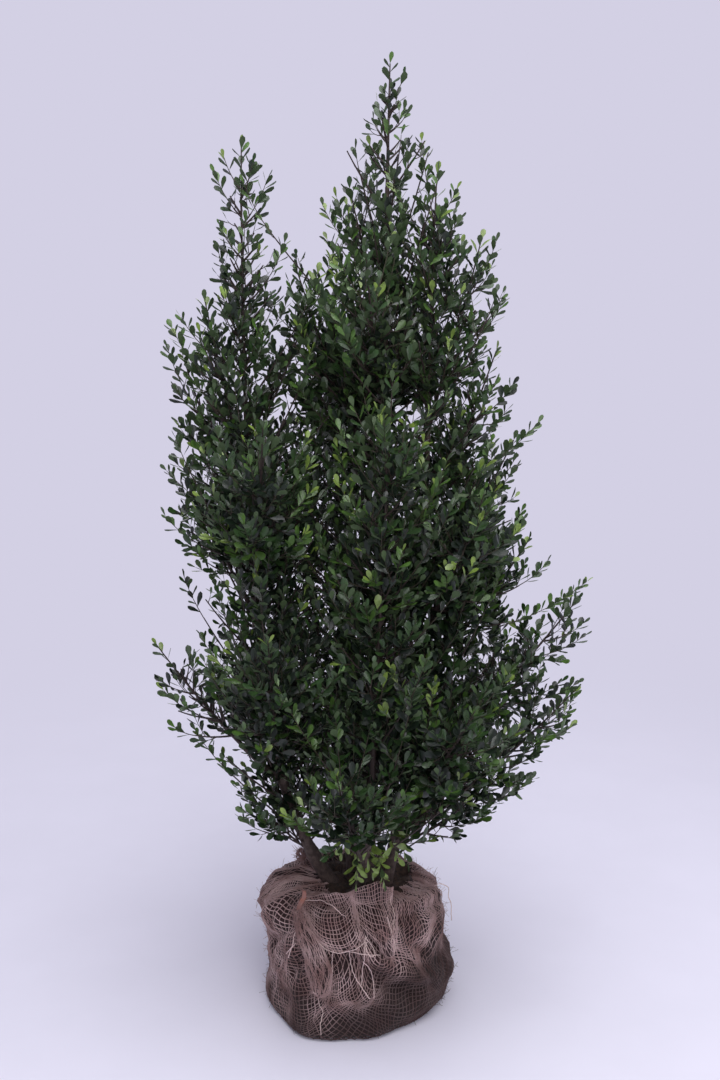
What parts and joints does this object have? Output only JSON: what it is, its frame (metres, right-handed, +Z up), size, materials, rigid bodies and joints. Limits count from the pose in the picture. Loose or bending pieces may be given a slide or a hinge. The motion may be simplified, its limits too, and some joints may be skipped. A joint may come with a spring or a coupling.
{
  "type": "small-leaved holly tree",
  "caption": "Upright small-leaved evergreen holly with several stems from one root, leafy to the base, standing on a root ball wrapped in hessian.",
  "frame": {"origin": "middle of the flat underside of the root ball, where it stands on the ground", "axes": "+Z up along the main stem, +X to the right of the front, +Y to the back"},
  "size_m": [0.7024, 0.5371, 1.4859],
  "materials": {
    "leaf": "glossy evergreen leaf, lighter and yellower at the shoot tips",
    "bark": "matt grey-brown bark, darker on the twigs",
    "hessian": "coarse open-weave jute cloth over dark earth"
  },
  "bodies": {
    "root": {"bough_centre_back": "bark", "bough_centre_front": "bark", "bough_centre_left": "bark", "bough_left_back": "bark", "bough_left_back_low": "bark", "bough_left_front": "bark", "bough_left_front_low": "bark", "bough_left_middle": "bark", "bough_left_reaching": "bark", "bough_right_back": "bark", "bough_right_back_low": "bark", "bough_right_front": "bark", "bough_right_front_low": "bark", "bough_right_lower": "bark", "bough_right_middle": "bark", "bough_right_reaching": "bark", "bough_right_spreading": "bark", "foliage_back_leader": "leaf", "foliage_back_low": "leaf", "foliage_centre_back": "leaf", "foliage_centre_front": "leaf", "foliage_centre_high": "leaf", "foliage_centre_leader": "leaf", "foliage_centre_left": "leaf", "foliage_front_leader": "leaf", "foliage_front_low": "leaf", "foliage_left_back": "leaf", "foliage_left_back_low": "leaf", "foliage_left_front": "leaf", "foliage_left_front_low": "leaf", "foliage_left_leader": "leaf", "foliage_left_low": "leaf", "foliage_left_middle": "leaf", "foliage_left_reaching": "leaf", "foliage_left_top": "leaf", "foliage_left_upper": "leaf", "foliage_right_back": "leaf", "foliage_right_back_low": "leaf", "foliage_right_front": "leaf", "foliage_right_front_low": "leaf", "foliage_right_leader": "leaf", "foliage_right_low": "leaf", "foliage_right_lower": "leaf", "foliage_right_middle": "leaf", "foliage_right_reaching": "leaf", "foliage_right_spreading": "leaf", "foliage_right_top": "leaf", "foliage_right_upper": "leaf", "hessian_apron": "hessian", "hessian_tail_left": "hessian", "hessian_tail_right": "hessian", "root_ball": "hessian", "stem_back": "bark", "stem_centre": "bark", "stem_front": "bark", "stem_left": "bark", "stem_right": "bark"}
  },
  "joints": []
}
